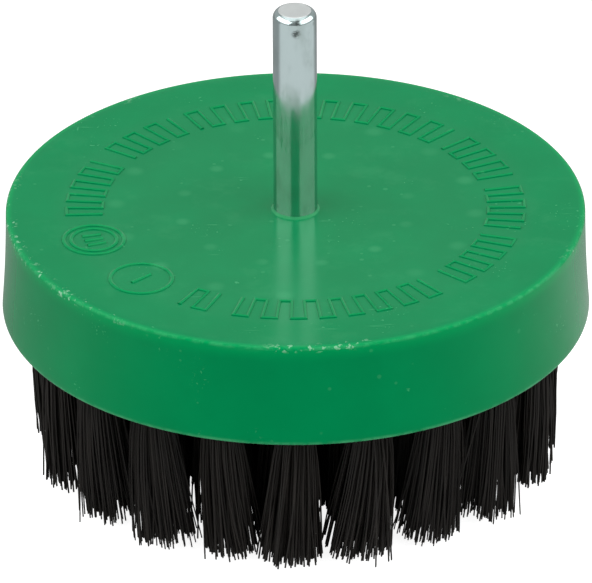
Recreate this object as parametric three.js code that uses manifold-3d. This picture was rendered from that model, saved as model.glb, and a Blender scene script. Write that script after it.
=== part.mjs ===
// A round, flat-faced brush for cleaning wheels, driven by a power drill: a moulded disc,
// a steel spindle held in its middle, and three rings of nylon tufts in its underside.
// Millimetres, +Z up along the spindle. The origin is on the spindle's axis, level with
// the tips of the tufts, so the brush stands on z = 0.

import * as THREE from "three";
import { mergeVertices } from "three/addons/utils/BufferGeometryUtils.js";
import Module from "manifold-3d";

const wasm = await Module();
wasm.setup();

// Driving dimensions.
const CLEARANCE = 0.3; // between a piece and the pocket that holds it
const TUFT_REACH = 22.5; // from the block's underside down to the tips

const BLOCK = {
  thickness: 14.75,
  underRadius: 40,
  waistRadius: 39.58, // the wall sinks a little at half height
  topRadius: 39.43,
  edgeRadius: 0.45,
};

const SPINDLE = {
  radius: 3,
  standsOut: 30.45, // above the block's top face
  endRadius: 2.15, // of the flat end
  shoulderHeight: 1.1, // of the rounded shoulder below the flat end
  headAcrossFlats: 10,
  headThickness: 4.5,
  headCover: 3, // plastic between the hexagonal head and the block's underside
  locatingHoleRadius: 2.5, // left in that plastic by the pin that held the head
};

const TUFT = {
  rootRadius: 2.2,
  tipRadius: 3.7,
  depth: 8.2, // how far it goes into its socket
};

// Each ring's first tuft is at this angle in degrees, counted from +X towards +Y.
const RINGS = [
  { name: "outer", radius: 33.3, count: 20, firstAngle: -90 },
  { name: "middle", radius: 24.45, count: 16, firstAngle: 18.8 },
  { name: "inner", radius: 15.75, count: 12, firstAngle: 13 },
];

// How finely round shapes are cut into flats.
const DISC_SIDES = 96;
const ROD_SIDES = 36;
const TUFT_SIDES = 12;
const HEX_SIDES = 6;
const CORNER_STEPS = 2;
const MERGE_DISTANCE = 1e-4;

const underside = TUFT_REACH;
const topFace = underside + BLOCK.thickness;
const spindleTop = topFace + SPINDLE.standsOut;
const headBottom = underside + SPINDLE.headCover;
const headTop = headBottom + SPINDLE.headThickness;

const greenPlastic = () =>
  new THREE.MeshStandardMaterial({ color: 0x0c8f50, roughness: 0.3, metalness: 0 });
const zincSteel = () =>
  new THREE.MeshStandardMaterial({ color: 0xb4c3c4, roughness: 0.3, metalness: 1 });
const blackNylon = () =>
  new THREE.MeshStandardMaterial({ color: 0x171614, roughness: 0.5, metalness: 0 });

// A profile of [radius, height] points, turned around the Z axis.
function turned(profile, sides) {
  const points = profile.map(([radius, height]) => new THREE.Vector2(radius, height));
  return new THREE.LatheGeometry(points, sides).rotateX(Math.PI / 2);
}

// A plain rod on the Z axis between two heights.
function rod(radius, bottom, top, sides) {
  return turned([[0, bottom], [radius, bottom], [radius, top], [0, top]], sides);
}

// A hexagonal prism on the Z axis between two heights.
function hexagon(acrossFlats, bottom, top) {
  const cornerRadius = acrossFlats / 2 / Math.cos(Math.PI / HEX_SIDES);
  return rod(cornerRadius, bottom, top, HEX_SIDES);
}

// Profile points along an elliptical corner, from one angle to another in degrees.
function corner(radius, height, reach, rise, fromAngle, toAngle) {
  return Array.from({ length: CORNER_STEPS + 1 }, (_, step) => {
    const angle = fromAngle + ((toAngle - fromAngle) * step) / CORNER_STEPS;
    const turn = THREE.MathUtils.degToRad(angle);
    return [radius + reach * Math.cos(turn), height + rise * Math.sin(turn)];
  });
}

// A closed geometry as a solid that can be cut and joined.
function solidOf(geometry) {
  const bare = geometry.clone();
  bare.deleteAttribute("normal");
  bare.deleteAttribute("uv");
  const merged = mergeVertices(bare, MERGE_DISTANCE);
  return new wasm.Manifold(
    new wasm.Mesh({
      numProp: 3,
      vertProperties: merged.attributes.position.array,
      triVerts: new Uint32Array(merged.index.array),
    }),
  );
}

// A solid as a flat-shaded geometry.
function geometryOf(solid) {
  const { vertProperties, triVerts } = solid.getMesh();
  const indexed = new THREE.BufferGeometry();
  indexed.setAttribute("position", new THREE.BufferAttribute(vertProperties, 3));
  indexed.setIndex(new THREE.BufferAttribute(triVerts, 1));
  const faceted = indexed.toNonIndexed();
  faceted.computeVertexNormals();
  return faceted;
}

// Where each tuft of every ring stands, with its node's name.
function tuftPlaces() {
  return RINGS.flatMap(({ name, radius, count, firstAngle }) =>
    Array.from({ length: count }, (_, index) => {
      const angle = THREE.MathUtils.degToRad(firstAngle + (360 * index) / count);
      return {
        name: `tuft_${name}_${String(index + 1).padStart(2, "0")}`,
        x: radius * Math.cos(angle),
        y: radius * Math.sin(angle),
      };
    }),
  );
}

// One bundle of bristles as a plain solid: straight in its socket, flared to its tip.
function tuftGeometry() {
  return turned(
    [
      [0, 0],
      [TUFT.tipRadius, 0],
      [TUFT.rootRadius, underside],
      [TUFT.rootRadius, underside + TUFT.depth],
      [0, underside + TUFT.depth],
    ],
    TUFT_SIDES,
  );
}

// The rod with its rounded end, and the hexagonal head that the plastic grips.
function spindleGeometry() {
  const shoulder = corner(
    SPINDLE.endRadius,
    spindleTop - SPINDLE.shoulderHeight,
    SPINDLE.radius - SPINDLE.endRadius,
    SPINDLE.shoulderHeight,
    0,
    90,
  );
  const rodProfile = [[0, headBottom], [SPINDLE.radius, headBottom], ...shoulder, [0, spindleTop]];
  const head = hexagon(SPINDLE.headAcrossFlats, headBottom, headTop);
  return geometryOf(solidOf(turned(rodProfile, ROD_SIDES)).add(solidOf(head)));
}

// The disc before its sockets and its spindle cavity are cut.
function blankDisc() {
  const edge = BLOCK.edgeRadius;
  return turned(
    [
      [0, underside],
      ...corner(BLOCK.underRadius - edge, underside + edge, edge, edge, -90, 0),
      [BLOCK.waistRadius, (underside + topFace) / 2],
      ...corner(BLOCK.topRadius - edge, topFace - edge, edge, edge, 0, 90),
      [0, topFace],
    ],
    DISC_SIDES,
  );
}

// The hollow around the spindle: its bore, its head's pocket and the locating hole.
function spindleCavity() {
  const bore = rod(SPINDLE.radius + CLEARANCE, headBottom, topFace + 1, ROD_SIDES);
  const pocket = hexagon(
    SPINDLE.headAcrossFlats + 2 * CLEARANCE,
    headBottom - CLEARANCE,
    headTop + CLEARANCE,
  );
  const locatingHole = rod(SPINDLE.locatingHoleRadius, underside - 1, headBottom, ROD_SIDES);
  return [bore, pocket, locatingHole].map(solidOf).reduce((whole, next) => whole.add(next));
}

// The blind socket of one tuft, at the axis.
function socketGeometry() {
  return rod(
    TUFT.rootRadius + CLEARANCE,
    underside - 1,
    underside + TUFT.depth + CLEARANCE,
    TUFT_SIDES,
  );
}

function blockGeometry() {
  const socket = solidOf(socketGeometry());
  const drilled = tuftPlaces().reduce(
    (block, { x, y }) => block.subtract(socket.translate(x, y, 0)),
    solidOf(blankDisc()),
  );
  return geometryOf(drilled.subtract(spindleCavity()));
}

function named(name, geometry, material) {
  const mesh = new THREE.Mesh(geometry, material);
  mesh.name = name;
  return mesh;
}

const brush = new THREE.Group();
brush.add(named("brush_block", blockGeometry(), greenPlastic()));
brush.add(named("spindle", spindleGeometry(), zincSteel()));

for (const { name, x, y } of tuftPlaces()) {
  const tuft = named(name, tuftGeometry(), blackNylon());
  tuft.position.set(x, y, 0);
  brush.add(tuft);
}

export default brush;
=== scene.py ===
"""A round wheel brush for a power drill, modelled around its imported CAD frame.

A green moulded disc grips a zinc-plated spindle. Three rings of black nylon tufts stand
in blind sockets in the disc's underside, each folded over a small steel anchor.
Lengths are metres in the frame's own axes: +Z runs up the spindle, and the brush
stands on z = 0.
"""

import math
import random
from functools import cache, partial, reduce

import bmesh
import bpy
from bpy.props import FloatProperty, FloatVectorProperty, IntProperty, PointerProperty
from mathutils import Matrix, Vector


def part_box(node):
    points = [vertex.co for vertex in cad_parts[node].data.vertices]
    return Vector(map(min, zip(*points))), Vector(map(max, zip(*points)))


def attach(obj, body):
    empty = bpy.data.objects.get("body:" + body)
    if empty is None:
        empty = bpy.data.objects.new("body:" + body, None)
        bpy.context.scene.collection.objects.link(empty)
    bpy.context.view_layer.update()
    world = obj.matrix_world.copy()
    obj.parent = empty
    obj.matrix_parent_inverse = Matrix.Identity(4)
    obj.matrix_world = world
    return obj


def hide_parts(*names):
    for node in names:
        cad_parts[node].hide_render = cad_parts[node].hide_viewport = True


bl_info = {
    "name": "Wheel brush",
    "version": (1, 0, 0),
    "blender": (4, 5, 0),
    "location": "3D View > Sidebar > Wheel brush",
    "description": "Builds a drill-driven wheel brush around its CAD frame",
    "category": "Object",
}

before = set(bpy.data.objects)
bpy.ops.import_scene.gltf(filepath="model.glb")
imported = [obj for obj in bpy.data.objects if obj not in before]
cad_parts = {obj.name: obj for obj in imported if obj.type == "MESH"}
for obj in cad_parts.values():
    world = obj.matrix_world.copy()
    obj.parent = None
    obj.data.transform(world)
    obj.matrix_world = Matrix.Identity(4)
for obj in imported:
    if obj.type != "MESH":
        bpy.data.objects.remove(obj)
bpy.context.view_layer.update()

MM = 0.001
ORIGIN = Vector((0.0, 0.0, 0.0))

# Places and sizes that the frame settles.
BLOCK_LOW, BLOCK_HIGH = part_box("brush_block")
SPINDLE_LOW, SPINDLE_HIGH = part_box("spindle")
DISC_RADIUS = BLOCK_HIGH.x
UNDERSIDE = BLOCK_LOW.z
TOP_FACE = BLOCK_HIGH.z
HEAD_CORNER_RADIUS = SPINDLE_HIGH.y
TUFT_NODES = sorted(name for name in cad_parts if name.startswith("tuft_"))
SOCKET_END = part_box(TUFT_NODES[0])[1].z

# How finely shapes are cut.
DISC_STEPS = 256
ROD_STEPS = 96
SOCKET_STEPS = 32
RING_STEPS = 48
MERGE_DISTANCE = 0.001 * MM
SHARP_ANGLE = math.radians(32)
SPINDLE_SLACK = 0.01 * MM  # between the spindle and the plastic that grips it


# ---------------------------------------------------------------- settings

def size(name, description, millimetres):
    """A length property whose default is given in millimetres."""
    return FloatProperty(name=name, description=description, default=millimetres * MM,
                         unit="LENGTH", precision=5)


def factor(name, description, value):
    """A plain share between nothing and all."""
    return FloatProperty(name=name, description=description, default=value,
                         min=0.0, max=1.0, subtype="FACTOR")


def colour(name, description, value):
    """A linear colour."""
    return FloatVectorProperty(name=name, description=description, default=value,
                               size=3, min=0.0, max=1.0, subtype="COLOR")


class DiscSettings(bpy.types.PropertyGroup):
    """The moulded disc."""

    edge: size("Edge radius", "Rounding of the rim's two edges", 0.42)
    top_inset: size("Top inset", "How much smaller the top rim is than the bottom rim", 0.57)
    wall_sink: size("Wall sink", "How far the wall sinks in at half height", 0.13)
    dish: size("Dish", "How far the middle of the top face sinks", 0.12)
    lip_height: size("Lip height", "Rise of the plastic around the spindle", 0.4)
    lip_width: size("Lip width", "Reach of that rise from the spindle", 0.45)
    mark_height: size("Mark height", "How far the moulded marks stand up", 0.23)
    mark_width: size("Mark width", "Thickness of one moulded bead, sunk in the face", 0.74)
    mark_radius: size("Mark radius", "Distance of the moulded band from the spindle", 28.7)
    mark_length: size("Mark length", "Width of the moulded band", 4.9)
    mark_pitch: FloatProperty(name="Mark pitch", default=3.65,
                              description="Degrees from one upright stroke to the next")
    polished: size("Polished radius", "Reach of the glossier middle of the top face", 32.5)
    plastic: colour("Plastic", "Body colour of the moulding", (0.0, 0.188, 0.064))
    # The scuffed colour is also used for painted light: a patchy sheen, a highlight by the spindle
    # and a reflection along the bottom rim.
    pale: colour("Scuffed plastic", "Colour of scuffs, specks and rubbed edges", (0.09, 0.42, 0.2))
    # Painted light: a lighter green for light shining through the wall's top edge, also laid on
    # the raised marks as a painted highlight.
    painted_light_green: colour("Lit edge", "Colour where light shines through an edge", (0.0, 0.27, 0.08))
    chalky: colour("Chalky", "Colour of chipped plastic", (0.34, 0.6, 0.42))
    tint: colour("Gloss tint", "Tint of the straight-on reflection", (0.0, 1.0, 0.05))
    roughness: factor("Roughness", "Roughness of the clean surface", 0.17)


class SpindleSettings(bpy.types.PropertyGroup):
    """The plated steel spindle."""

    radius: size("Shank radius", "Half of the round shank's thickness", 3.0)
    end_radius: size("End radius", "Radius of the flat end", 2.1)
    shoulder: size("Shoulder", "Height of the rounded shoulder below the end", 1.1)
    head_thickness: size("Head thickness", "Thickness of the hexagonal head", 4.5)
    plating: colour("Plating", "Colour of the zinc plating", (0.55, 0.66, 0.665))
    stain: colour("Stain", "Colour of the plating's duller patches", (0.46, 0.56, 0.55))
    cut_face: colour("Cut face", "Brighter metal of the flat end", (0.86, 0.9, 0.89))
    pits: colour("Pits", "Colour of small darker specks in the plating", (0.2, 0.24, 0.23))
    # This colour also paints a dark reflection on the shoulder, besides the rubbed chuck mark
    # below it.
    smudge_and_dark_reflection: colour("Smudge", "Colour of the rubbed marks by the free end", (0.07, 0.085, 0.08))


class BristleSettings(bpy.types.PropertyGroup):
    """The nylon tufts and the anchors that hold them."""

    filament: size("Filament", "Thickness of one filament", 0.235)
    spacing: size("Spacing", "Distance between filaments in the socket", 0.275)
    socket_radius: size("Socket radius", "Radius of one blind socket", 2.5)
    fan: factor("Fan", "How much wider a tuft is at its tips than in its socket", 0.7)
    inward: size("Inward lean", "How far the outer tufts lean towards the spindle", 1.7)
    tuft_lean: size("Tuft lean", "Usual sideways lean of a whole tuft at its tip", 0.7)
    stray: size("Stray", "Usual sideways wander of one filament at its tip", 0.36)
    curl: size("Curl", "Usual bend of one filament at half its length", 0.22)
    trim: size("Trim height", "Usual height of the cut ends above the lowest ones", 1.4)
    ragged: size("Ragged", "Usual unevenness of the cut ends", 0.3)
    seed: IntProperty(name="Seed", description="Seed of all random draws", default=11)
    anchor_thickness: size("Anchor thickness", "Thickness of a steel anchor", 0.4)
    anchor_height: size("Anchor height", "Height of a steel anchor", 1.5)
    nylon: colour("Nylon", "Colour of the filament", (0.0108, 0.0094, 0.0082))
    steel: colour("Anchor steel", "Darker colour of the anchors", (0.36, 0.35, 0.33))
    bright_steel: colour("Bright steel", "Brighter colour of the anchors", (0.5, 0.49, 0.46))


class StudioSettings(bpy.types.PropertyGroup):
    """Camera, floor and lights."""

    elevation: FloatProperty(name="Camera elevation", description="Camera above the horizon",
                             default=math.radians(28.72), subtype="ANGLE")
    roll: FloatProperty(name="Camera roll", description="Camera turned about its own axis",
                        default=math.radians(-0.25), subtype="ANGLE")
    distance: size("Camera distance", "From the middle of the top face", 2616)
    lens: FloatProperty(name="Lens", description="Focal length in millimetres", default=1169.7)
    aim_drop: size("Aim drop", "How far below the top face's middle the camera aims", 11.34)
    aim_side: size("Aim side", "How far right of the top face's middle the camera aims", 0.02)
    floor_radius: size("Floor radius", "Reach of the floor around the brush", 6000)
    floor_near: colour("Floor, front", "Colour of the floor in front", (0.58, 0.58, 0.58))
    # Painted shade: the floor is darker behind on the left, as if the brush shaded it from the
    # right panel.
    floor_painted_shade: colour("Floor, back", "Colour of the floor behind, on the left", (0.28, 0.28, 0.28))
    floor_seen: factor("Floor fill", "Whiteness added to the floor as the camera sees it", 0.9)
    sky: FloatProperty(name="Surroundings", description="Brightness all around", default=0.5)
    camera_side: FloatProperty(name="Camera side", description="Brightness behind the camera",
                               default=0.28)
    side_boxes: FloatProperty(name="Side boxes", description="Brightness of the two side panels",
                              default=1.95)
    overhead: FloatProperty(name="Overhead", description="Brightness of the overhead panel",
                            default=0.88)


class BrushSettings(bpy.types.PropertyGroup):
    """All settings of the brush."""

    disc: PointerProperty(type=DiscSettings)
    spindle: PointerProperty(type=SpindleSettings)
    bristle: PointerProperty(type=BristleSettings)
    studio: PointerProperty(type=StudioSettings)


# ---------------------------------------------------------------- places

def tuft_centre(node):
    """The middle of a tuft's CAD solid."""
    low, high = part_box(node)
    return (low + high) / 2


def flat(point):
    """A point moved down to height zero."""
    return Vector((point.x, point.y, 0.0))


def across_socket(node):
    """The turn about Z that lays an anchor at right angles to the way to the spindle."""
    centre = tuft_centre(node)
    return Matrix.Rotation(math.atan2(centre.y, centre.x) + math.pi / 2, 4, "Z")


def ring_of(ring):
    """(radius, count, first angle) of one ring of tufts, measured on the frame."""
    centres = [tuft_centre(name) for name in TUFT_NODES if ring in name]
    first = centres[0]
    return math.hypot(first.x, first.y), len(centres), math.atan2(first.y, first.x)


def bore_radius():
    """Radius at which the plastic meets the spindle."""
    return bpy.context.scene.wheel_brush.spindle.radius + SPINDLE_SLACK


def top_height(disc, radius):
    """Height of the slightly dished top face at a distance from the axis."""
    return TOP_FACE - disc.dish * (1.0 - (radius / DISC_RADIUS) ** 2)


# ---------------------------------------------------------------- modelling helpers

def arc(centre, reach, start, end, steps):
    """(radius, height) points along a round or elliptical corner, between angles in degrees."""
    turns = [math.radians(start + (end - start) * step / steps) for step in range(steps + 1)]
    return [(centre[0] + reach[0] * math.cos(turn), centre[1] + reach[1] * math.sin(turn))
            for turn in turns]


def turned(profile, steps):
    """A solid of revolution about Z from (radius, height) points."""
    shape = bmesh.new()
    points = [shape.verts.new((radius, 0.0, height)) for radius, height in profile]
    edges = [shape.edges.new(pair) for pair in zip(points, points[1:])]
    bmesh.ops.spin(shape, geom=points + edges, cent=ORIGIN, axis=(0.0, 0.0, 1.0),
                   angle=math.tau, steps=steps, use_merge=True)
    bmesh.ops.remove_doubles(shape, verts=shape.verts, dist=MERGE_DISTANCE)
    bmesh.ops.recalc_face_normals(shape, faces=shape.faces)
    return shape


def hexagon(corner_radius, bottom, top, edge):
    """A hexagonal prism with corners on Y and lightly rounded edges."""
    shape = bmesh.new()
    middle = Vector((0.0, 0.0, (bottom + top) / 2))
    place = Matrix.Translation(middle) @ Matrix.Rotation(math.pi / 2, 4, "Z")
    bmesh.ops.create_cone(shape, cap_ends=True, segments=6, radius1=corner_radius,
                          radius2=corner_radius, depth=top - bottom, matrix=place)
    if edge:
        bmesh.ops.bevel(shape, geom=shape.edges[:], offset=edge, affect="EDGES", segments=2,
                        profile=0.5, material=-1)
    return shape


def scattered(shape, places):
    """One bmesh with a copy of the shape moved by each of the matrices; the shape is used up."""
    mesh = bpy.data.meshes.new("copy")
    shape.to_mesh(mesh)
    shape.free()
    whole = bmesh.new()
    for place in places:
        first = len(whole.verts)
        whole.from_mesh(mesh)
        whole.verts.ensure_lookup_table()
        bmesh.ops.transform(whole, matrix=place, verts=whole.verts[first:])
    bpy.data.meshes.remove(mesh)
    return whole


def linked_object(name, shape):
    """A bmesh as an object in the scene, at the origin; the shape is used up."""
    mesh = bpy.data.meshes.new(name)
    shape.to_mesh(mesh)
    shape.free()
    made = bpy.data.objects.new(name, mesh)
    bpy.context.scene.collection.objects.link(made)
    return made


def combined(shape, tool, operation):
    """The bmesh that an exact boolean leaves of two others, which are used up."""
    body = linked_object("body", shape)
    cutter = linked_object("cutter", tool)
    boolean = body.modifiers.new("boolean", "BOOLEAN")
    boolean.operation = operation
    boolean.solver = "EXACT"
    boolean.object = cutter
    evaluated = body.evaluated_get(bpy.context.evaluated_depsgraph_get())
    result = bmesh.new()
    result.from_mesh(evaluated.to_mesh())
    evaluated.to_mesh_clear()
    for spent in (body, cutter):
        bpy.data.meshes.remove(spent.data)
    return result


def finished(name, shape, material, replaced=()):
    """A bmesh as a smooth-shaded piece of the brush that rides on its only body."""
    piece = linked_object(name, shape)
    piece.data.materials.append(material)
    piece.data.shade_smooth()
    piece.data.set_sharp_from_angle(angle=SHARP_ANGLE)
    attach(piece, "root")
    if replaced:
        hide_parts(*replaced)
    return piece


# ---------------------------------------------------------------- shader helpers

def feed(tree, socket, value):
    """Sets an input, or links it when the value is another node's output."""
    if isinstance(value, bpy.types.NodeSocket):
        tree.links.new(value, socket)
    else:
        socket.default_value = value


def maths(tree, operation, *values):
    """The output of a Math node."""
    made = tree.nodes.new("ShaderNodeMath")
    made.operation = operation
    for socket, value in zip(made.inputs, values):
        feed(tree, socket, value)
    return made.outputs[0]


def product(tree, *values):
    """All values multiplied together."""
    return reduce(partial(maths, tree, "MULTIPLY"), values)


def total(tree, *values):
    """All values added up."""
    return reduce(partial(maths, tree, "ADD"), values)


def highest(tree, *values):
    """The highest of the values at each point."""
    return reduce(partial(maths, tree, "MAXIMUM"), values)


def diagonal(tree, first, second):
    """The straight distance that two lengths at right angles add up to."""
    squares = total(tree, product(tree, first, first), product(tree, second, second))
    return maths(tree, "SQRT", squares)


def ramp(tree, value, low, high, start=0.0, end=1.0):
    """A value eased from start to end while it goes from low to high."""
    made = tree.nodes.new("ShaderNodeMapRange")
    made.interpolation_type = "SMOOTHSTEP"
    for name, number in (("Value", value), ("From Min", low), ("From Max", high),
                         ("To Min", start), ("To Max", end)):
        feed(tree, made.inputs[name], number)
    return made.outputs["Result"]


def blended(tree, share, first, second):
    """A mix of two colours."""
    made = tree.nodes.new("ShaderNodeMix")
    made.data_type = "RGBA"
    feed(tree, made.inputs["Factor"], share)
    feed(tree, made.inputs["A"], opaque(first))
    feed(tree, made.inputs["B"], opaque(second))
    return made.outputs["Result"]


def opaque(value):
    """A three-part colour with its alpha added; anything else as it is."""
    return value if isinstance(value, bpy.types.NodeSocket) else (*value, 1.0)


def brightened(shade, times):
    """A colour with each of its parts multiplied."""
    return [part * times for part in shade]


def noise_field(tree, position, scale, detail=2.0, roughness=0.5):
    """The value of a Noise Texture."""
    made = tree.nodes.new("ShaderNodeTexNoise")
    for name, number in (("Vector", position), ("Scale", scale), ("Detail", detail),
                         ("Roughness", roughness)):
        feed(tree, made.inputs[name], number)
    return made.outputs["Fac"]


def stretched(tree, position, scale, turn=(0.0, 0.0, 0.0)):
    """A position turned and scaled by a Mapping node."""
    made = tree.nodes.new("ShaderNodeMapping")
    feed(tree, made.inputs["Vector"], position)
    made.inputs["Rotation"].default_value = turn
    made.inputs["Scale"].default_value = scale
    return made.outputs["Vector"]


def parts_of(tree, position):
    """The X, Y and Z of a position, and its distance from the spindle's axis."""
    made = tree.nodes.new("ShaderNodeSeparateXYZ")
    feed(tree, made.inputs[0], position)
    x, y, z = made.outputs
    return x, y, z, diagonal(tree, x, y)


def jittered(tree, position):
    """The position, shaken finely, so that a round shape comes out ragged."""
    shake = tree.nodes.new("ShaderNodeTexNoise")
    feed(tree, shake.inputs["Vector"], position)
    shake.inputs["Scale"].default_value = 2600.0
    add = tree.nodes.new("ShaderNodeVectorMath")
    add.operation = "MULTIPLY_ADD"
    feed(tree, add.inputs[0], shake.outputs["Color"])
    add.inputs[1].default_value = (0.7 * MM, 0.7 * MM, 0.7 * MM)
    feed(tree, add.inputs[2], position)
    return add.outputs["Vector"]


def new_material(name):
    """An empty material, its tree, its Principled shader and the Object coordinates."""
    material = bpy.data.materials.new(name)
    material.use_nodes = True
    tree = material.node_tree
    shader = tree.nodes["Principled BSDF"]
    position = tree.nodes.new("ShaderNodeTexCoord").outputs["Object"]
    return material, tree, shader, position


def bumped(tree, shader, height, distance, normal=None):
    """Feeds a height to the shader as a bump; returns the new normal."""
    bump = tree.nodes.new("ShaderNodeBump")
    bump.inputs["Distance"].default_value = distance
    feed(tree, bump.inputs["Height"], height)
    if normal is not None:
        feed(tree, bump.inputs["Normal"], normal)
    feed(tree, shader.inputs["Normal"], bump.outputs["Normal"])
    return bump.outputs["Normal"]


# ---------------------------------------------------------------- shared effects

def effect(name, *labels):
    """A new node group that makes a mask of a position and some numbers."""
    group = bpy.data.node_groups.new(name, "ShaderNodeTree")
    group.interface.new_socket(name="Position", in_out="INPUT", socket_type="NodeSocketVector")
    for label in labels:
        group.interface.new_socket(name=label, in_out="INPUT", socket_type="NodeSocketFloat")
    group.interface.new_socket(name="Mask", in_out="OUTPUT", socket_type="NodeSocketFloat")
    given = group.nodes.new("NodeGroupInput").outputs
    return group, given, group.nodes.new("NodeGroupOutput").inputs["Mask"]


def placed(tree, group, **values):
    """The mask of an effect placed in a tree with its own values."""
    made = tree.nodes.new("ShaderNodeGroup")
    made.node_tree = group
    for name, value in values.items():
        feed(tree, made.inputs[name.capitalize()], value)
    return made.outputs["Mask"]


@cache
def speck_effect():
    """Sparse small specks, each with its own size."""
    group, given, mask = effect("Specks", "Scale", "Share", "Reach")
    smallest, core = 0.35, 0.45
    cells = group.nodes.new("ShaderNodeTexVoronoi")
    feed(group, cells.inputs["Vector"], given["Position"])
    feed(group, cells.inputs["Scale"], given["Scale"])
    split = group.nodes.new("ShaderNodeSeparateColor")
    feed(group, split.inputs[0], cells.outputs["Color"])
    chosen = maths(group, "LESS_THAN", split.outputs[0], given["Share"])
    reach = product(group, given["Reach"], total(group, split.outputs[1], smallest))
    near = ramp(group, cells.outputs["Distance"], product(group, reach, core), reach, 1.0, 0.0)
    feed(group, mask, product(group, chosen, near))
    return group


@cache
def scuff_effect():
    """Tiny crumbs and short straight scratches, gathered in scattered patches."""
    group, given, mask = effect("Scuffs", "Scale")
    position = given["Position"]
    fine = product(group, given["Scale"], 14.0)
    marks = ramp(group, noise_field(group, position, fine, detail=1.0), 0.66, 0.74)
    for turn in ((0.0, 0.0, 0.5), (0.0, 0.7, 2.1)):
        along = stretched(group, position, (0.05, 1.0, 1.0), turn)
        scratches = ramp(group, noise_field(group, along, fine, detail=1.0), 0.7, 0.78)
        marks = highest(group, marks, scratches)
    patch = ramp(group, noise_field(group, position, given["Scale"], detail=1.0), 0.6, 0.7)
    feed(group, mask, product(group, marks, patch))
    return group


@cache
def rim_band_effect():
    """A band around a rim at a given radius and height, broken up unevenly: rubbed wear on the top
    rim, painted reflection on the bottom rim.
    """
    group, given, mask = effect("Rim band", "Radius", "Height", "Width", "Scale")
    position, width = given["Position"], given["Width"]
    _, _, z, radius = parts_of(group, position)
    away = diagonal(group, maths(group, "SUBTRACT", radius, given["Radius"]),
                    maths(group, "SUBTRACT", z, given["Height"]))
    near = ramp(group, away, product(group, width, 0.3), width, 1.0, 0.0)
    uneven = ramp(group, noise_field(group, position, given["Scale"], 4.0, 0.7), 0.34, 0.62)
    feed(group, mask, product(group, near, uneven))
    return group


@cache
def spot_effect():
    """A ring of evenly spaced soft spots around the spindle's axis."""
    group, given, mask = effect("Ring of spots", "Radius", "Count", "Start", "Reach")
    position, reach = given["Position"], given["Reach"]
    x, y, _, radius = parts_of(group, position)
    turn = maths(group, "SUBTRACT", maths(group, "ARCTAN2", y, x), given["Start"])
    step = maths(group, "DIVIDE", math.tau, given["Count"])
    nearest = maths(group, "ROUND", maths(group, "DIVIDE", turn, step))
    off_turn = maths(group, "SUBTRACT", turn, product(group, nearest, step))
    away = diagonal(group, product(group, off_turn, given["Radius"]),
                    maths(group, "SUBTRACT", radius, given["Radius"]))
    near = ramp(group, away, product(group, reach, 0.2), reach, 1.0, 0.0)
    uneven = ramp(group, noise_field(group, position, scale=95.0, detail=1.0), 0.3, 0.65, 0.15)
    feed(group, mask, product(group, near, uneven))
    return group


# ---------------------------------------------------------------- green plastic

def face_height(tree, radius, disc):
    """The height of the dished top face under a point, as a shader value."""
    share = maths(tree, "DIVIDE", radius, DISC_RADIUS)
    return total(tree, product(tree, share, share, disc.dish), TOP_FACE - disc.dish)


def on_top_face(tree, position):
    """The mask of the top face and its edge."""
    _, _, z, _ = parts_of(tree, position)
    return ramp(tree, z, TOP_FACE - 1.0 * MM, TOP_FACE - 0.5 * MM)


def body_colour(tree, position, disc):
    """Faintly mottled green, with a painted glow of light shining through the wall's top edge."""
    _, _, z, radius = parts_of(tree, position)
    cloud = ramp(tree, noise_field(tree, position, scale=130.0, detail=3.0, roughness=0.55),
                 0.3, 0.75)
    body = blended(tree, cloud, disc.plastic, brightened(disc.plastic, 1.08))
    # Painted glow: a band near the top of the wall is mixed towards the light green.
    near_edge = ramp(tree, z, TOP_FACE - 2.4 * MM, TOP_FACE - 0.2 * MM, end=0.75)
    outside = ramp(tree, radius, DISC_RADIUS - 1.6 * MM, DISC_RADIUS - 0.9 * MM)
    return blended(tree, product(tree, near_edge, outside), body, disc.painted_light_green)


def raised_strokes(tree, position, disc):
    """The moulded marks: whatever stands above the dished face, away from the spindle."""
    _, _, z, radius = parts_of(tree, position)
    above = maths(tree, "SUBTRACT", z, face_height(tree, radius, disc))
    return product(tree, ramp(tree, above, 0.06 * MM, 0.14 * MM),
                   ramp(tree, radius, 12 * MM, 14 * MM))


def stress_spots(tree, position):
    """Pale spots over the sockets of the two inner rings."""
    masks = []
    for ring, reach in (("middle", 1.7 * MM), ("inner", 1.3 * MM)):
        radius, count, start = ring_of(ring)
        masks.append(placed(tree, spot_effect(), position=position, radius=radius,
                            count=float(count), start=start, reach=reach))
    return highest(tree, *masks)


def painted_sheen_and_lip_highlight(tree, position):
    """(sheen, highlight): a faint cloud of painted sheen, and a painted highlight around the
    spindle.
    """
    _, _, _, radius = parts_of(tree, position)
    # Painted sheen: pale patches that stand in for uneven gloss on the top face.
    painted_sheen_haze = ramp(tree, noise_field(tree, position, scale=170.0, detail=4.0, roughness=0.65),
                0.5, 0.75)
    # Painted highlight: a bright line on the rise around the spindle.
    painted_lip_highlight = ramp(tree, radius, bore_radius() + 0.1 * MM, bore_radius() + 0.4 * MM, 1.0, 0.0)
    return painted_sheen_haze, painted_lip_highlight


def specks_and_scuffs(tree, position):
    """(fine, coarse, crumbs): two sizes of pale specks, and scattered scuffs."""
    fine = placed(tree, speck_effect(), position=position, scale=900.0, share=0.05, reach=0.3)
    coarse = placed(tree, speck_effect(), position=jittered(tree, position), scale=260.0,
                    share=0.03, reach=0.1)
    crumbs = placed(tree, scuff_effect(), position=position, scale=150.0)
    return fine, coarse, crumbs


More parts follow.
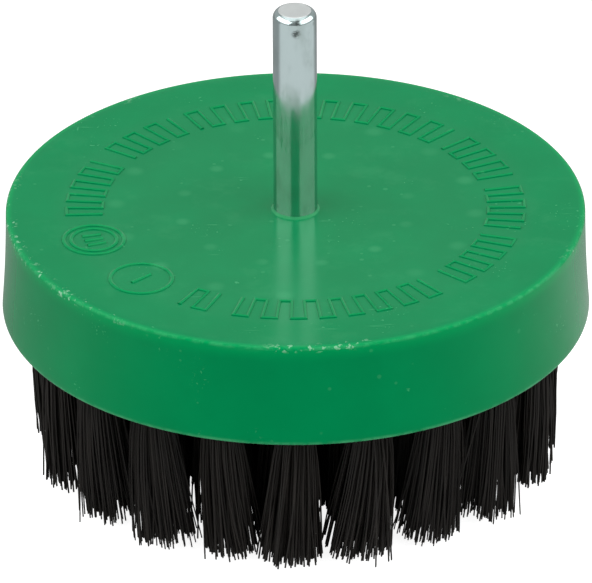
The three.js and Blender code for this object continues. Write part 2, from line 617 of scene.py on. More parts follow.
def rubbed_top_rim_and_bottom_reflection(tree, position, disc):
    """(top, bottom): the disc's rubbed top rim, and a painted reflection of the floor along its
    bottom rim.
    """
    top = placed(tree, rim_band_effect(), position=position, radius=DISC_RADIUS - disc.top_inset,
                 height=TOP_FACE - 0.1 * MM, width=0.5 * MM, scale=700.0)
    # Painted reflection: a pale line along the bottom rim, where the rounded edge would mirror the
    # floor.
    bottom = placed(tree, rim_band_effect(), position=position, radius=DISC_RADIUS,
                    height=UNDERSIDE, width=0.75 * MM, scale=220.0)
    return top, bottom


def wear_and_painted_light(tree, position, disc):
    """Everything that pales the plastic, each kind with its own strength: wear, and painted sheen,
    highlight and reflection.
    """
    on_top = on_top_face(tree, position)
    painted_sheen_haze, painted_lip_highlight = painted_sheen_and_lip_highlight(tree, position)
    fine, coarse, crumbs = specks_and_scuffs(tree, position)
    top_rim, bottom_rim_reflection = rubbed_top_rim_and_bottom_reflection(tree, position, disc)
    only_on_top = ((stress_spots(tree, position), 0.17), (painted_sheen_haze, 0.07), (painted_lip_highlight, 0.35))
    anywhere = ((fine, 0.16), (coarse, 0.35), (crumbs, 0.3), (top_rim, 0.25), (bottom_rim_reflection, 0.5))
    masks = [product(tree, mask, on_top, strength) for mask, strength in only_on_top]
    masks += [product(tree, mask, strength) for mask, strength in anywhere]
    return highest(tree, *masks)


def chipped_rim(tree, position, disc):
    """Crumbs along the top rim, where it has been knocked: mostly at the left front."""
    x, y, z, radius = parts_of(tree, position)
    left = product(tree, ramp(tree, x, -20 * MM, -30 * MM), ramp(tree, y, 12 * MM, 4 * MM))
    stretches = ramp(tree, noise_field(tree, position, scale=45.0, detail=1.0), 0.56, 0.66,
                     end=0.7)
    rim = DISC_RADIUS - disc.top_inset
    band = ramp(tree, radius, rim - 1.7 * MM, rim - 0.5 * MM)
    above = ramp(tree, z, TOP_FACE - 0.9 * MM, TOP_FACE - 0.4 * MM)
    patches = ramp(tree, noise_field(tree, position, scale=320.0, detail=1.0), 0.36, 0.54)
    crumbs = ramp(tree, noise_field(tree, position, scale=1300.0, roughness=0.6), 0.57, 0.64)
    return product(tree, highest(tree, left, stretches), band, above, patches, crumbs)


def green_plastic(disc):
    """Glossy moulded polypropylene: faintly mottled, specked, scuffed and rubbed at its top rim,
    with painted light: a glow along the wall's top edge, lit marks, a patchy sheen, a highlight by
    the spindle and a reflection along the bottom rim.
    """
    material, tree, shader, position = new_material("green_plastic")
    pale_marks_and_painted_light = wear_and_painted_light(tree, position, disc)
    chips = product(tree, chipped_rim(tree, position, disc), 0.7)
    # Painted highlight: the raised marks are mixed towards the light green, as if lit.
    strokes = product(tree, raised_strokes(tree, position, disc), 0.45)

    shade = body_colour(tree, position, disc)
    for mask, paler in ((strokes, disc.painted_light_green), (pale_marks_and_painted_light, disc.pale), (chips, disc.chalky)):
        shade = blended(tree, mask, shade, paler)
    feed(tree, shader.inputs["Base Color"], shade)

    clean = ramp(tree, noise_field(tree, position, scale=60.0, detail=3.0), 0.3, 0.7,
                 disc.roughness, disc.roughness + 0.04)
    rubbed = product(tree, highest(tree, pale_marks_and_painted_light, chips), 0.4)
    feed(tree, shader.inputs["Roughness"], total(tree, clean, rubbed))

    _, _, _, radius = parts_of(tree, position)
    polish = ramp(tree, radius, disc.polished - 2 * MM, disc.polished + 1.5 * MM, 0.12, 0.0)
    feed(tree, shader.inputs["Coat Weight"], product(tree, polish, on_top_face(tree, position)))

    skin = noise_field(tree, position, scale=1500.0)
    waves = noise_field(tree, position, scale=90.0, detail=1.0)
    normal = bumped(tree, shader, skin, 0.002 * MM)
    bumped(tree, shader, waves, 0.03 * MM, normal=normal)

    shader.inputs["IOR"].default_value = 1.49
    shader.inputs["Specular IOR Level"].default_value = 0.25
    shader.inputs["Coat IOR"].default_value = 1.5
    shader.inputs["Coat Roughness"].default_value = 0.2
    shader.inputs["Specular Tint"].default_value = opaque(disc.tint)
    return material


# ---------------------------------------------------------------- metals and nylon

def dark_spot(tree, position, place, reach):
    """A small dark spot near the free end, used as a rubbed chuck mark and, on the shoulder, as a
    painted dark reflection.
    """
    away = tree.nodes.new("ShaderNodeVectorMath")
    away.operation = "DISTANCE"
    feed(tree, away.inputs[0], position)
    away.inputs[1].default_value = place
    near = ramp(tree, away.outputs["Value"], 0.3 * reach, reach, 1.0, 0.0)
    squeezed = stretched(tree, position, (1.0, 1.0, 1.8))
    broken = ramp(tree, noise_field(tree, squeezed, scale=1500.0, detail=3.0, roughness=0.7),
                  0.36, 0.52)
    return product(tree, near, broken, 0.9)


def plating_colour(tree, position, spindle, dull, cut_end):
    """Zinc with duller blotches, pits, a chuck mark and a painted dark reflection by the free end,
    and a brighter cut face.
    """
    pits = placed(tree, speck_effect(), position=position, scale=750.0, share=0.08, reach=0.35)
    top, side = SPINDLE_HIGH.z, spindle.radius
    # Painted reflection: a dark spot on the shoulder, where it would mirror the dim side behind
    # the camera.
    shoulder_reflection = dark_spot(tree, position, (0.4 * MM, -0.85 * side, top - 0.6 * MM), 0.65 * MM)
    lower = dark_spot(tree, position, (0.2 * MM, -side, top - 2.1 * MM), 0.85 * MM)
    shade = blended(tree, dull, spindle.plating, spindle.stain)
    shade = blended(tree, product(tree, pits, 0.35), shade, spindle.pits)
    shade = blended(tree, highest(tree, shoulder_reflection, lower), shade, spindle.smudge_and_dark_reflection)
    return blended(tree, cut_end, shade, spindle.cut_face)


def zinc_plate(spindle):
    """Bright zinc plating on drawn steel: faint streaks along the rod and duller blotches."""
    material, tree, shader, position = new_material("zinc_plate")
    streaks = noise_field(tree, stretched(tree, position, (1.0, 1.0, 0.03)), 1700.0, 3.0)
    blotches = noise_field(tree, stretched(tree, position, (1.0, 1.0, 0.5)), 380.0, 4.0, 0.6)
    dull = ramp(tree, blotches, 0.42, 0.68)
    _, _, z, _ = parts_of(tree, position)
    cut_end = ramp(tree, z, SPINDLE_HIGH.z - 0.06 * MM, SPINDLE_HIGH.z - 0.02 * MM)

    feed(tree, shader.inputs["Base Color"],
         plating_colour(tree, position, spindle, dull, cut_end))
    feed(tree, shader.inputs["Roughness"],
         total(tree, ramp(tree, streaks, 0.3, 0.7, 0.09, 0.13), product(tree, dull, 0.05),
               product(tree, cut_end, 0.3)))
    normal = bumped(tree, shader, streaks, 0.0015 * MM)
    bumped(tree, shader, blotches, 0.004 * MM, normal=normal)
    shader.inputs["Metallic"].default_value = 1.0
    return material


def black_nylon(bristle):
    """Black nylon filament with a soft sheen and slight differences between strands."""
    material, tree, shader, position = new_material("black_nylon")
    strands = noise_field(tree, stretched(tree, position, (1.0, 1.0, 0.08)), scale=1300.0)
    feed(tree, shader.inputs["Base Color"],
         blended(tree, ramp(tree, strands, 0.35, 0.7), bristle.nylon,
                 brightened(bristle.nylon, 1.7)))
    feed(tree, shader.inputs["Roughness"], ramp(tree, strands, 0.3, 0.7, 0.5, 0.65))
    bumped(tree, shader, noise_field(tree, position, scale=5000.0, detail=1.0), 0.002 * MM)
    shader.inputs["IOR"].default_value = 1.45
    shader.inputs["Specular IOR Level"].default_value = 0.25
    return material


def anchor_steel(bristle):
    """Plain stamped steel of the small anchors."""
    material, tree, shader, position = new_material("anchor_steel")
    grain = noise_field(tree, stretched(tree, position, (1.0, 1.0, 0.2)), 2200.0, 3.0)
    feed(tree, shader.inputs["Base Color"],
         blended(tree, ramp(tree, grain, 0.35, 0.7), bristle.steel, bristle.bright_steel))
    feed(tree, shader.inputs["Roughness"], ramp(tree, grain, 0.3, 0.7, 0.3, 0.45))
    bumped(tree, shader, grain, 0.004 * MM)
    shader.inputs["Metallic"].default_value = 1.0
    return material


# ---------------------------------------------------------------- disc

# Steps of the disc's profile.
CORNER_STEPS = 6
WALL_STEPS = 14
TOP_STEPS = 24
LIP_STEPS = 8

LOCATING_HOLE = 2.5 * MM  # radius of the hole that the pin under the spindle's head left
SOCKET_ROOM = 0.3 * MM  # from a tuft's root to the end of its socket
SOCKET_CONE = 0.6 * MM  # height of the socket's cone-shaped end
CUT_PAST = 1.0 * MM  # how far a cutter reaches past the face that it opens

# Each group's first angle in degrees, counted from +X, and its number of strokes.
STROKE_GROUPS = ((183, 9), (146, 7), (119, 21), (40, 7), (11, 7), (-17, 8), (-51, 16), (-113, 3))
DOUBLE_RING_ANGLE = 197.6
SINGLE_RING_ANGLE = 223.3


def disc_profile(disc):
    """(radius, height) points of the moulding, from the underside's middle to the top's."""
    edge, inset = disc.edge, disc.top_inset
    points = [(0.0, UNDERSIDE)]
    points += arc((DISC_RADIUS - edge, UNDERSIDE + edge), (edge, edge), -90, 0, CORNER_STEPS)
    low, high = UNDERSIDE + edge, TOP_FACE - edge
    for step in range(1, WALL_STEPS):
        share = step / WALL_STEPS
        radius = DISC_RADIUS - inset * share - disc.wall_sink * math.sin(math.pi * share)
        points.append((radius, low + (high - low) * share))
    points += arc((DISC_RADIUS - inset - edge, high), (edge, edge), 0, 90, CORNER_STEPS)
    rim, lip_start = DISC_RADIUS - inset - edge, bore_radius() + disc.lip_width
    for step in range(1, TOP_STEPS + 1):
        radius = rim + (lip_start - rim) * step / TOP_STEPS
        points.append((radius, top_height(disc, radius)))
    for step in range(1, LIP_STEPS + 1):
        share = step / LIP_STEPS
        rise = disc.lip_height * share ** 2
        points.append((lip_start - disc.lip_width * share, top_height(disc, lip_start) + rise))
    points.append((0.0, points[-1][1]))
    return points


def socket_cutters(bristle):
    """The sockets to drill, with slightly eased mouths."""
    radius, ease = bristle.socket_radius, 0.22 * MM
    below, end = UNDERSIDE - CUT_PAST, SOCKET_END + SOCKET_ROOM
    profile = [(0.0, below), (radius + ease, below), (radius + ease, UNDERSIDE),
               (radius, UNDERSIDE + ease), (radius, end - SOCKET_CONE), (0.0, end)]
    places = [Matrix.Translation(flat(tuft_centre(node))) for node in TUFT_NODES]
    return scattered(turned(profile, SOCKET_STEPS), places)


def bore_cutter():
    """The hole that the shank fills, open at the top face."""
    radius, bottom, above = bore_radius(), SPINDLE_LOW.z, TOP_FACE + 2 * CUT_PAST
    return turned([(0.0, bottom), (radius, bottom), (radius, above), (0.0, above)], ROD_STEPS)


def pocket_cutter(spindle):
    """The hexagonal hollow that the spindle's head fills."""
    head_top = SPINDLE_LOW.z + spindle.head_thickness
    return hexagon(HEAD_CORNER_RADIUS + SPINDLE_SLACK, SPINDLE_LOW.z - SPINDLE_SLACK,
                   head_top + SPINDLE_SLACK, edge=0.0)


def locating_hole_cutter():
    """The hole from the underside up to the spindle's head, with an eased mouth."""
    ease, below, end = 0.25 * MM, UNDERSIDE - CUT_PAST, SPINDLE_LOW.z + SPINDLE_SLACK
    return turned([(0.0, below), (LOCATING_HOLE + ease, below), (LOCATING_HOLE + ease, UNDERSIDE),
                   (LOCATING_HOLE, UNDERSIDE + ease), (LOCATING_HOLE, end), (0.0, end)], ROD_STEPS)


def bead(points, radius, closed):
    """A round bead along a path, with closed ends."""
    curve = bpy.data.curves.new("bead", "CURVE")
    curve.dimensions = "3D"
    curve.bevel_depth = radius
    curve.bevel_resolution = 2
    curve.use_fill_caps = True
    spline = curve.splines.new("POLY")
    spline.points.add(len(points) - 1)
    for spot, point in zip(spline.points, points):
        spot.co = (*point, 1.0)
    spline.use_cyclic_u = closed
    holder = bpy.data.objects.new("bead", curve)
    bpy.context.scene.collection.objects.link(holder)
    evaluated = holder.evaluated_get(bpy.context.evaluated_depsgraph_get())
    shape = bmesh.new()
    shape.from_mesh(evaluated.to_mesh())
    evaluated.to_mesh_clear()
    bpy.data.curves.remove(curve)
    bmesh.ops.remove_doubles(shape, verts=shape.verts, dist=MERGE_DISTANCE)
    bmesh.ops.recalc_face_normals(shape, faces=shape.faces)
    return shape


def on_face(disc, radius, angle):
    """A point for a bead on the top face, at a distance and an angle from the spindle."""
    height = top_height(disc, radius) + disc.mark_height - disc.mark_width / 2
    return Vector((radius * math.cos(angle), radius * math.sin(angle), height))


def key_pattern(disc, start, count):
    """A square wave around the spindle, with a number of upright strokes."""
    outer = disc.mark_radius + disc.mark_length / 2
    inner = disc.mark_radius - disc.mark_length / 2
    points = []
    for index in range(count):
        angle = math.radians(start - index * disc.mark_pitch)
        ends = (inner, outer) if index % 2 == 0 else (outer, inner)
        points += [on_face(disc, radius, angle) for radius in ends]
    return bead(points, disc.mark_width / 2, closed=False)


def ring_pattern(disc, angle, ring_radius):
    """One ring beside the band of strokes."""
    centre = on_face(disc, disc.mark_radius, math.radians(angle))
    points = []
    for step in range(RING_STEPS):
        turn = math.tau * step / RING_STEPS
        spot = centre + Vector((ring_radius * math.cos(turn), ring_radius * math.sin(turn), 0.0))
        points.append(on_face(disc, math.hypot(spot.x, spot.y), math.atan2(spot.y, spot.x)))
    return bead(points, disc.mark_width / 2, closed=True)


def dash_pattern(disc, angle, length):
    """One straight stroke that points at the spindle."""
    ends = (disc.mark_radius - length / 2, disc.mark_radius + length / 2)
    points = [on_face(disc, radius, math.radians(angle)) for radius in ends]
    return bead(points, disc.mark_width / 2, closed=False)


def double_ring_mark(disc, angle):
    """Two rings around three short strokes."""
    outer, inner, stroke, step = 4.1 * MM, 3.1 * MM, 2.6 * MM, 2.5
    rings = [ring_pattern(disc, angle, radius) for radius in (outer, inner)]
    return rings + [dash_pattern(disc, angle + side * step, stroke) for side in (-1, 0, 1)]


def single_ring_mark(disc, angle):
    """One ring around one stroke."""
    ring, stroke = 4.2 * MM, 3.4 * MM
    return [ring_pattern(disc, angle, ring), dash_pattern(disc, angle, stroke)]


def moulded_marks(disc):
    """A plain key pattern in groups around the top face, and two ring marks."""
    marks = [key_pattern(disc, start, count) for start, count in STROKE_GROUPS]
    marks += double_ring_mark(disc, DOUBLE_RING_ANGLE)
    marks += single_ring_mark(disc, SINGLE_RING_ANGLE)
    whole = bmesh.new()
    for mark in marks:
        mesh = bpy.data.meshes.new("mark")
        mark.to_mesh(mesh)
        mark.free()
        whole.from_mesh(mesh)
        bpy.data.meshes.remove(mesh)
    return whole


class BRUSH_OT_disc(bpy.types.Operator):
    """Moulds the green disc with its sockets, its spindle cavity and its raised marks"""

    bl_idname = "wheel_brush.make_disc"
    bl_label = "Disc"

    def execute(self, context):
        settings = context.scene.wheel_brush
        shape = turned(disc_profile(settings.disc), DISC_STEPS)
        shape = combined(shape, moulded_marks(settings.disc), "UNION")
        shape = combined(shape, socket_cutters(settings.bristle), "DIFFERENCE")
        for cutter in (bore_cutter(), pocket_cutter(settings.spindle), locating_hole_cutter()):
            shape = combined(shape, cutter, "DIFFERENCE")
        finished("disc_moulding", shape, green_plastic(settings.disc),
                 ["brush_block"])
        return {"FINISHED"}


# ---------------------------------------------------------------- spindle

SHOULDER_STEPS = 10


def spindle_profile(spindle):
    """(radius, height) points of the rod, from the bottom of the head to the free end."""
    top, edge = SPINDLE_HIGH.z, 0.12 * MM
    inset = spindle.radius - spindle.end_radius
    sweep = 2 * math.atan(inset / spindle.shoulder)
    bend = spindle.shoulder / math.sin(sweep)
    points = [(0.0, SPINDLE_LOW.z), (spindle.radius - edge, SPINDLE_LOW.z),
              (spindle.radius, SPINDLE_LOW.z + edge)]
    points += arc((spindle.radius - bend, top - spindle.shoulder), (bend, bend), 0,
                  math.degrees(sweep), SHOULDER_STEPS)
    # A ring just inside the end's edge keeps the shading of the flat end apart.
    points += [(spindle.end_radius * 0.97, top), (0.0, top)]
    return points


class BRUSH_OT_spindle(bpy.types.Operator):
    """Turns the plated steel spindle with its rounded end and hexagonal head"""

    bl_idname = "wheel_brush.make_spindle"
    bl_label = "Spindle"

    def execute(self, context):
        spindle = context.scene.wheel_brush.spindle
        rod = turned(spindle_profile(spindle), ROD_STEPS)
        head_top = SPINDLE_LOW.z + spindle.head_thickness
        head = hexagon(HEAD_CORNER_RADIUS, SPINDLE_LOW.z, head_top, edge=0.25 * MM)
        finished("steel_spindle", combined(rod, head, "UNION"), zinc_plate(spindle),
                 ["spindle"])
        return {"FINISHED"}


# ---------------------------------------------------------------- tufts

# How finely a strand is cut: along each arm, around its fold and around itself.
ARM_STEPS = 4
FOLD_STEPS = 2
STRAND_SIDES = 4

STRAND_GAP = 0.04 * MM  # from a strand to the socket's wall or the anchor, and its own play
FOLD_ROOM = 0.1 * MM  # extra height of the folds, into the room above a tuft's root
LEAST_TRIM = 0.05 * MM  # a cut end stays at least this far above the ground
TRIM_STEP = 0.2 * MM  # usual difference between the trim of one tuft and another
SPREAD_RANGE = (0.8, 1.25)  # how wide one tuft fans out against the usual
INNER_LEAN = 0.3  # share of the inward lean that the two inner rings have
IN_OUT_LEAN = 0.4  # share of the sideways lean by which tufts differ towards the spindle
LOOSE_SHARE, LOOSE_FACTOR = 0.035, 3.5  # strands that wander further, and how much further
UNCUT_SHARE, UNCUT_FACTOR = 0.08, 3.0  # ends that are more uneven, and how much more

# How a strand's offsets grow from its socket to its tip, as powers; 1 is in step with length.
FAN_POWER = 0.75
LEAN_POWER = 1.3
STRAY_POWER = 1.15

# Sideways lean in millimetres and relative spread of the outer tufts at the front.
BENT_TUFTS = {
    "tuft_outer_17": (0.2, 1.0),
    "tuft_outer_18": (0.7, 1.0),
    "tuft_outer_19": (1.1, 1.15),
    "tuft_outer_20": (0.9, 0.75),
    "tuft_outer_01": (-1.0, 1.1),
    "tuft_outer_02": (-1.6, 1.3),
    "tuft_outer_03": (-0.45, 1.05),
    "tuft_outer_04": (-0.6, 0.9),
    "tuft_outer_05": (-0.1, 0.9),
    "tuft_outer_06": (0.0, 0.85),
}


def straight_strand(radius, rows):
    """A closed strand along Z, with one ring of points for each row."""
    shape = bmesh.new()
    bmesh.ops.create_circle(shape, cap_ends=True, segments=STRAND_SIDES, radius=radius)
    edges = shape.edges[:]
    for _ in range(rows - 1):
        made = bmesh.ops.extrude_edge_only(shape, edges=edges)["geom"]
        verts = [part for part in made if isinstance(part, bmesh.types.BMVert)]
        edges = [part for part in made
                 if isinstance(part, bmesh.types.BMEdge) and set(part.verts) <= set(verts)]
        bmesh.ops.translate(shape, vec=(0.0, 0.0, 1.0), verts=verts)
    bmesh.ops.contextual_create(shape, geom=edges)
    bmesh.ops.recalc_face_normals(shape, faces=shape.faces)
    return shape


def packed_places(bristle):
    """Where strands stand in half a socket: (along the anchor, away from it)."""
    reach = bristle.socket_radius - bristle.filament / 2 - STRAND_GAP
    nearest = (bristle.anchor_thickness + bristle.filament) / 2 + STRAND_GAP
    step_up = bristle.spacing * math.sqrt(3) / 2
    places = []
    for row in range(int((reach - nearest) / step_up) + 1):
        away = nearest + row * step_up
        half = math.sqrt(max(reach ** 2 - away ** 2, 0.0))
        count = int(2 * half / bristle.spacing) + 1
        for index in range(count):
            along = (index - (count - 1) / 2) * bristle.spacing
            places.append((along, away))
    return places


def fold_height(bristle):
    """Height at which the strands start to fold, so that the widest fold fits its socket."""
    return SOCKET_END - bristle.socket_radius + FOLD_ROOM


def arm(bristle, dice, start, tuft_lean, tuft_fan, tuft_trim):
    """Points of one strand from its cut end up to the socket's mouth."""
    wander = bristle.stray * (LOOSE_FACTOR if dice.random() < LOOSE_SHARE else 1.0)
    kick = Vector((dice.gauss(0, wander), dice.gauss(0, wander), 0.0))
    curl = Vector((dice.gauss(0, bristle.curl), dice.gauss(0, bristle.curl), 0.0))
    ragged = bristle.ragged * (UNCUT_FACTOR if dice.random() < UNCUT_SHARE else 1.0)
    end = max(bristle.trim + tuft_trim + dice.gauss(0, ragged), LEAST_TRIM)
    points = []
    for step in range(ARM_STEPS + 1):
        down = 1.0 - step / ARM_STEPS
        spread = start * (1.0 + tuft_fan * down ** FAN_POWER)
        side = tuft_lean * down ** LEAN_POWER + kick * down ** STRAY_POWER
        side += curl * math.sin(math.pi * down)
        points.append(spread + side + Vector((0.0, 0.0, UNDERSIDE + (end - UNDERSIDE) * down)))
    return points


def strand_route(bristle, dice, along, away, **tuft):
    """Points of one folded strand, from one cut end over the anchor to the other."""
    height = fold_height(bristle)
    first = arm(bristle, dice, Vector((along, away, 0.0)), **tuft)
    second = arm(bristle, dice, Vector((along, -away, 0.0)), **tuft)
    turns = [math.pi * step / FOLD_STEPS for step in range(FOLD_STEPS + 1)]
    fold = [Vector((along, away * math.cos(turn), height + away * math.sin(turn)))
            for turn in turns]
    return first + fold + second[::-1]


def lay_strand(verts, route, across):
    """Moves a straight strand's rings of points onto a route."""
    frames = []
    for index, point in enumerate(route):
        ahead = (route[min(index + 1, len(route) - 1)] - route[max(index - 1, 0)]).normalized()
        side = (across - ahead * across.dot(ahead)).normalized()
        frames.append((point, side, ahead.cross(side)))
    for vert in verts:
        point, side, other = frames[round(vert.co.z)]
        vert.co = point + side * vert.co.x + other * vert.co.y


def tuft_stance(bristle, node, dice):
    """How one whole tuft leans, fans out and is trimmed."""
    inward = bristle.inward * (1.0 if "outer" in node else INNER_LEAN)
    sideways, spread = dice.gauss(0, bristle.tuft_lean), dice.uniform(*SPREAD_RANGE)
    if node in BENT_TUFTS:
        sideways, spread = BENT_TUFTS[node][0] * MM, BENT_TUFTS[node][1]
    inward += dice.gauss(0, IN_OUT_LEAN * bristle.tuft_lean)
    return {
        "tuft_lean": Vector((sideways, inward, 0.0)),
        "tuft_fan": bristle.fan * spread,
        "tuft_trim": dice.gauss(0, TRIM_STEP),
    }


def tuft_shape(bristle, template, node, dice):
    """All folded strands of one tuft."""
    stance = tuft_stance(bristle, node, dice)
    along_anchor = Vector((1.0, 0.0, 0.0))
    shape = bmesh.new()
    for along, away in packed_places(bristle):
        first = len(shape.verts)
        shape.from_mesh(template)
        shape.verts.ensure_lookup_table()
        nudge = dice.uniform(-STRAND_GAP, STRAND_GAP)
        route = strand_route(bristle, dice, along + nudge, away, **stance)
        lay_strand(shape.verts[first:], route, along_anchor)
    place = Matrix.Translation(flat(tuft_centre(node))) @ across_socket(node)
    bmesh.ops.transform(shape, matrix=place, verts=shape.verts)
    return shape


def anchor_shape(bristle):
    """One steel anchor at the axis, long enough to bite into the plastic at both ends."""
    bite, edge = 0.35 * MM, 0.08 * MM
    length = 2 * (bristle.socket_radius + bite)
    shape = bmesh.new()
    bmesh.ops.create_cube(shape, size=1.0)
    bmesh.ops.scale(shape, vec=(length, bristle.anchor_thickness, bristle.anchor_height),
                    verts=shape.verts)
    bmesh.ops.bevel(shape, geom=shape.edges[:], offset=edge, affect="EDGES", segments=2,
                    profile=0.5, material=-1)
    return shape


class BRUSH_OT_tufts(bpy.types.Operator):
    """Sets every tuft: folded nylon strands that fan out from their socket to their cut ends"""

    bl_idname = "wheel_brush.make_tufts"
    bl_label = "Tufts"

    def execute(self, context):
        bristle = context.scene.wheel_brush.bristle
        rows = 2 * (ARM_STEPS + 1) + FOLD_STEPS + 1
        template = bpy.data.meshes.new("strand")
        strand = straight_strand(bristle.filament / 2, rows)
        strand.to_mesh(template)
        strand.free()
        nylon = black_nylon(bristle)
        dice = random.Random(bristle.seed)
        for node in TUFT_NODES:
            shape = tuft_shape(bristle, template, node, dice)
            finished(node.replace("tuft", "bristles"), shape, nylon, [node])
        bpy.data.meshes.remove(template)
        return {"FINISHED"}


class BRUSH_OT_anchors(bpy.types.Operator):
    """Presses a small steel anchor across every socket, under the strands' folds"""

    bl_idname = "wheel_brush.make_anchors"
    bl_label = "Anchors"

    def execute(self, context):
        bristle = context.scene.wheel_brush.bristle
        steel = anchor_steel(bristle)
        height = fold_height(bristle) - bristle.anchor_height / 2 + bristle.anchor_thickness / 2
        for node in TUFT_NODES:
            shape = anchor_shape(bristle)
            centre = flat(tuft_centre(node)) + Vector((0.0, 0.0, height))
            bmesh.ops.transform(shape, matrix=Matrix.Translation(centre) @ across_socket(node),
                                verts=shape.verts)
            finished(node.replace("tuft", "anchor"), shape, steel)
        return {"FINISHED"}


# ---------------------------------------------------------------- stage

def pale_table(studio):
    """A plain table that the camera sees as white, with painted shade that darkens it towards the
    far left.
    """
    material, tree, shader, position = new_material("pale_table")
    slant, wander, fade_length = 0.3, 4 * MM, 60 * MM
    x, y, _, _ = parts_of(tree, position)
    behind = maths(tree, "SUBTRACT", y, product(tree, x, slant))
    grain = noise_field(tree, position, scale=40.0)
    # Painted shade: the floor colour fades to the darker one towards the back left.
    painted_shade_share = ramp(tree, total(tree, behind, product(tree, grain, wander)), 0.0, fade_length)
    feed(tree, shader.inputs["Base Color"],
         blended(tree, painted_shade_share, studio.floor_near, studio.floor_painted_shade))
    rays = tree.nodes.new("ShaderNodeLightPath")
    fill = [studio.floor_seen] * 3
    feed(tree, shader.inputs["Emission Color"],
         blended(tree, rays.outputs["Is Camera Ray"], (0.0, 0.0, 0.0), fill))
    shader.inputs["Emission Strength"].default_value = 1.0
    shader.inputs["Roughness"].default_value = 0.9
    shader.inputs["Specular IOR Level"].default_value = 0.0
    return material


def soft_surroundings(studio):
    """Even light from all around, dimmer behind the camera and seen as pure white."""
    world = bpy.data.worlds.new("soft_surroundings")
    world.use_nodes = True
    tree = world.node_tree
    light = tree.nodes["Background"]
    seen = tree.nodes.new("ShaderNodeBackground")
    chooser = tree.nodes.new("ShaderNodeMixShader")
    rays = tree.nodes.new("ShaderNodeLightPath")
    direction = tree.nodes.new("ShaderNodeTexCoord").outputs["Generated"]
    _, forward, _, _ = parts_of(tree, direction)
    # Dimmest within 18 degrees of the camera's side, and full from 60 degrees away from it.
    feed(tree, light.inputs["Strength"],
         ramp(tree, forward, -0.95, -0.5, studio.camera_side, studio.sky))
    for background in (light, seen):
        background.inputs["Color"].default_value = (1.0, 1.0, 1.0, 1.0)
    feed(tree, chooser.inputs[0], rays.outputs["Is Camera Ray"])
    feed(tree, chooser.inputs[1], light.outputs[0])
    feed(tree, chooser.inputs[2], seen.outputs[0])
    feed(tree, tree.nodes["World Output"].inputs["Surface"], chooser.outputs[0])
    bpy.context.scene.world = world


def soft_panel(name, azimuth, elevation, distance, spans, brightness):
    """A rectangular light that faces the brush.

    Angles are in degrees, with azimuth 0 behind the camera. The spans are the angles that
    its width and height fill, seen from the brush.
    """
    width, height = (2 * distance * math.tan(math.radians(span / 2)) for span in spans)
    lamp = bpy.data.lights.new(name, "AREA")
    lamp.shape = "RECTANGLE"
    lamp.size, lamp.size_y = width, height
    lamp.energy = brightness * math.pi * width * height
    panel = bpy.data.objects.new(name, lamp)
    bpy.context.scene.collection.objects.link(panel)
    panel.visible_camera = False
    turn, rise = math.radians(azimuth), math.radians(elevation)
    towards = Vector((math.sin(turn) * math.cos(rise), -math.cos(turn) * math.cos(rise),
                      math.sin(rise)))
    panel.location = towards * distance
    panel.rotation_euler = (-towards).to_track_quat("-Z", "Y").to_euler()


def studio_camera(studio):
    """A long lens from the front and above."""
    data = bpy.data.cameras.new("camera")
    data.lens = studio.lens
    data.clip_end = 20.0
    camera = bpy.data.objects.new("camera", data)
    bpy.context.scene.collection.objects.link(camera)
    back = Vector((0.0, -math.cos(studio.elevation), math.sin(studio.elevation)))
    up = Vector((0.0, math.sin(studio.elevation), math.cos(studio.elevation)))
    aim = Vector((studio.aim_side, 0.0, TOP_FACE)) - up * studio.aim_drop
    camera.location = aim + back * studio.distance
    turn = (-back).to_track_quat("-Z", "Y").to_matrix().to_4x4()
    camera.rotation_euler = (turn @ Matrix.Rotation(studio.roll, 4, "Z")).to_euler()
    bpy.context.scene.camera = camera


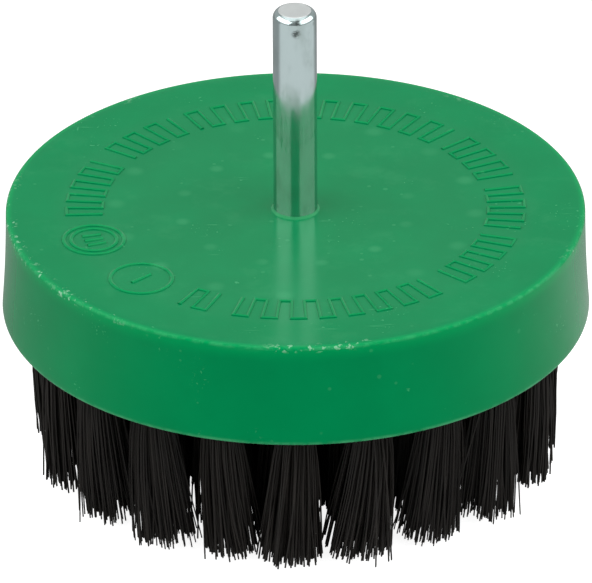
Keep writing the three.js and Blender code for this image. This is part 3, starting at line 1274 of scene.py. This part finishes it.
class BRUSH_OT_stage(bpy.types.Operator):
    """Sets the pale floor, the soft light and the camera"""

    bl_idname = "wheel_brush.make_stage"
    bl_label = "Stage"

    def execute(self, context):
        studio = context.scene.wheel_brush.studio
        shape = bmesh.new()
        bmesh.ops.create_circle(shape, cap_ends=True, segments=96, radius=studio.floor_radius)
        floor = linked_object("floor", shape)
        floor.data.materials.append(pale_table(studio))
        soft_surroundings(studio)
        soft_panel("left_box", azimuth=-70, elevation=37, distance=1.4, spans=(80, 45),
                   brightness=studio.side_boxes)
        soft_panel("right_box", azimuth=71, elevation=37, distance=1.4, spans=(84, 45),
                   brightness=studio.side_boxes)
        soft_panel("overhead", azimuth=180, elevation=85, distance=1.5, spans=(56, 56),
                   brightness=studio.overhead)
        studio_camera(studio)
        context.scene.view_settings.view_transform = "Standard"
        return {"FINISHED"}


# ---------------------------------------------------------------- add-on

class BRUSH_PT_panel(bpy.types.Panel):
    """Lists the steps that build the brush"""

    bl_idname = "BRUSH_PT_panel"
    bl_label = "Wheel brush"
    bl_space_type = "VIEW_3D"
    bl_region_type = "UI"
    bl_category = "Wheel brush"

    def draw(self, context):
        settings = context.scene.wheel_brush
        groups = ((BRUSH_OT_disc, settings.disc), (BRUSH_OT_spindle, settings.spindle),
                  (BRUSH_OT_tufts, settings.bristle), (BRUSH_OT_anchors, None),
                  (BRUSH_OT_stage, settings.studio))
        for operator, group in groups:
            box = self.layout.box()
            box.operator(operator.bl_idname)
            for name in (group.__annotations__ if group else ()):
                box.prop(group, name)


CLASSES = (DiscSettings, SpindleSettings, BristleSettings, StudioSettings, BrushSettings,
           BRUSH_OT_disc, BRUSH_OT_spindle, BRUSH_OT_tufts, BRUSH_OT_anchors, BRUSH_OT_stage,
           BRUSH_PT_panel)


def register():
    for each in CLASSES:
        bpy.utils.register_class(each)
    bpy.types.Scene.wheel_brush = PointerProperty(type=BrushSettings)


def unregister():
    del bpy.types.Scene.wheel_brush
    for each in reversed(CLASSES):
        bpy.utils.unregister_class(each)


def main():
    register()
    bpy.ops.wheel_brush.make_stage()
    bpy.ops.wheel_brush.make_disc()
    bpy.ops.wheel_brush.make_spindle()
    bpy.ops.wheel_brush.make_tufts()
    bpy.ops.wheel_brush.make_anchors()


if __name__ == "__main__":
    main()
